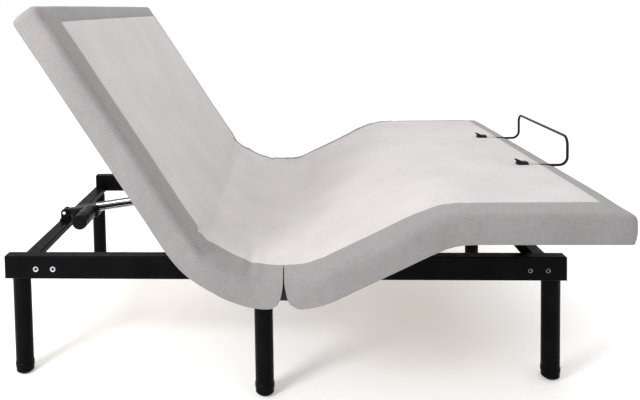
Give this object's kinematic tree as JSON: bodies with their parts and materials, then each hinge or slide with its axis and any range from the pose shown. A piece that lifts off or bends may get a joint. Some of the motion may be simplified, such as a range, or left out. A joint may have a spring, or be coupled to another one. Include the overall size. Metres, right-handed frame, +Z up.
{
  "type": "adjustable bed base",
  "caption": "Motorised bed base: padded hinged deck with raised head and knees on a black steel frame with round legs and a mattress retainer bar.",
  "frame": {"origin": "on the floor, under the middle of the object as drawn, with its head and knees raised", "axes": "+X from the head to the foot, +Y to the left of a person lying on the bed, +Z up"},
  "size_m": [1.8394, 1.52, 1.1908],
  "materials": {
    "powder_coat": "black satin powder coat",
    "gloss_leg": "black semi-gloss",
    "black_plastic": "moulded, matte",
    "glide_plastic": "matte",
    "zinc": "bright zinc",
    "bright_steel": "turned, bright",
    "drive_aluminium": "satin",
    "motor_black": "satin",
    "plywood": "unfinished birch ply",
    "light_fabric": "woven, warm light grey",
    "grey_fabric": "woven, mid grey",
    "nylon": "smooth nylon",
    "bar_black": "black satin"
  },
  "bodies": {
    "base": {"side_rail_right": "powder_coat", "side_rail_left": "powder_coat", "rail_end_caps": "black_plastic", "head_crossmember": "powder_coat", "foot_crossmember": "powder_coat", "seat_crossmembers": "powder_coat", "corner_leg_plates": "powder_coat", "middle_leg_brackets": "powder_coat", "leg_head_right": "gloss_leg", "leg_head_left": "gloss_leg", "leg_middle_right": "gloss_leg", "leg_middle_left": "gloss_leg", "leg_foot_right": "gloss_leg", "leg_foot_left": "gloss_leg", "leg_glides": "glide_plastic", "frame_bolts": "zinc", "seat_board": "plywood", "seat_pad": "light_fabric", "seat_side_panels": "grey_fabric", "seat_hinge_leaves": "zinc", "seat_hinge_pins": "bright_steel", "lift_tube_bearings": "powder_coat", "support_arm_brackets": "powder_coat", "actuator_clevises": "powder_coat", "actuator_rear_pins": "bright_steel", "control_box": "black_plastic", "power_supply": "black_plastic"},
    "lumbar_section": {"lumbar_board": "plywood", "lumbar_pad": "light_fabric", "lumbar_hinge_leaves": "zinc", "head_hinge_pins": "bright_steel"},
    "head_section": {"head_board": "plywood", "head_pad": "light_fabric", "head_side_panels": "grey_fabric", "head_end_panel": "grey_fabric", "head_hinge_leaves": "zinc", "head_wheel_tracks": "zinc"},
    "head_lift": {"head_lift_frame": "powder_coat"},
    "head_wheels": {"head_lift_wheels": "nylon"},
    "head_drive": {"head_motor": "motor_black", "head_drive_housing": "drive_aluminium"},
    "head_rod": {"head_drive_rod": "bright_steel"},
    "thigh_section": {"thigh_board": "plywood", "thigh_pad": "light_fabric", "thigh_side_panels": "grey_fabric", "thigh_hinge_leaves": "zinc", "knee_hinge_pins": "bright_steel"},
    "foot_section": {"foot_board": "plywood", "foot_pad": "light_fabric", "foot_side_panels": "grey_fabric", "foot_end_panel": "grey_fabric", "foot_hinge_leaves": "zinc", "retainer_bar": "bar_black", "retainer_clips": "black_plastic"},
    "leg_lift": {"leg_lift_frame": "powder_coat"},
    "leg_wheels": {"leg_lift_wheels": "nylon"},
    "foot_drive": {"foot_motor": "motor_black", "foot_drive_housing": "drive_aluminium"},
    "foot_rod": {"foot_drive_rod": "bright_steel"},
    "foot_support": {"foot_support_arms": "powder_coat"}
  },
  "joints": [
    {"name": "hip_tilt", "type": "hinge", "parent": "base", "child": "lumbar_section", "pos_m": [-0.13515, 0, 0.4195], "axis": [0, 1, 0], "range_deg": [-28.75, 0]},
    {"name": "head_tilt", "type": "hinge", "parent": "lumbar_section", "child": "head_section", "pos_m": [-0.27455, 0, 0.49598], "axis": [0, 1, 0], "range_deg": [-28.77, 0.02]},
    {"name": "head_lift_turn", "type": "hinge", "parent": "base", "child": "head_lift", "pos_m": [-0.26315, 0, 0.376], "axis": [0, 1, 0], "range_deg": [-59.92, 0.02]},
    {"name": "head_wheel_spin", "type": "hinge", "parent": "head_lift", "child": "head_wheels", "pos_m": [-0.39676, 0, 0.62207], "axis": [0, 1, 0], "continuous": true},
    {"name": "head_drive_swing", "type": "hinge", "parent": "base", "child": "head_drive", "pos_m": [-0.89115, 0, 0.392], "axis": [0, 1, 0], "range_deg": [-0.02, 8.07]},
    {"name": "head_rod_slide", "type": "slide", "parent": "head_drive", "child": "head_rod", "axis": [0.9892, 0, 0.1464], "range_m": [-0.07719, 0.0001]},
    {"name": "thigh_lift", "type": "hinge", "parent": "base", "child": "thigh_section", "pos_m": [0.03385, 0, 0.4195], "axis": [0, 1, 0], "range_deg": [0, 26.2]},
    {"name": "knee_fold", "type": "hinge", "parent": "thigh_section", "child": "foot_section", "pos_m": [0.39365, 0, 0.59654], "axis": [0, 1, 0], "range_deg": [-26.22, 0.02]},
    {"name": "leg_lift_turn", "type": "hinge", "parent": "base", "child": "leg_lift", "pos_m": [0.07685, 0, 0.37], "axis": [0, 1, 0], "range_deg": [-0.02, 29.36]},
    {"name": "leg_wheel_spin", "type": "hinge", "parent": "leg_lift", "child": "leg_wheels", "pos_m": [0.29466, 0, 0.51199], "axis": [0, 1, 0], "continuous": true},
    {"name": "foot_drive_swing", "type": "hinge", "parent": "base", "child": "foot_drive", "pos_m": [0.77885, 0, 0.392], "axis": [0, 1, 0], "range_deg": [-3.12, 0.02]},
    {"name": "foot_rod_slide", "type": "slide", "parent": "foot_drive", "child": "foot_rod", "axis": [-0.9986, 0, 0.0535], "range_m": [-0.02149, 0.0001]},
    {"name": "foot_support_turn", "type": "hinge", "parent": "base", "child": "foot_support", "pos_m": [0.72185, 0, 0.378], "axis": [0, 1, 0], "range_deg": [-51.11, 0.02]}
  ],
  "couplings": [
    {"joint": "head_tilt", "follows": "hip_tilt", "ratio": 1},
    {"joint": "head_lift_turn", "follows": "hip_tilt", "ratio": 2.0835},
    {"joint": "head_drive_swing", "follows": "hip_tilt", "ratio": -0.28017},
    {"joint": "head_rod_slide", "follows": "hip_tilt", "m_per_rad": 0.15364},
    {"joint": "knee_fold", "follows": "thigh_lift", "ratio": -1},
    {"joint": "leg_lift_turn", "follows": "thigh_lift", "ratio": 1.12},
    {"joint": "foot_drive_swing", "follows": "thigh_lift", "ratio": -0.11845},
    {"joint": "foot_rod_slide", "follows": "thigh_lift", "m_per_rad": -0.046773},
    {"joint": "foot_support_turn", "follows": "thigh_lift", "ratio": -1.95}
  ]
}
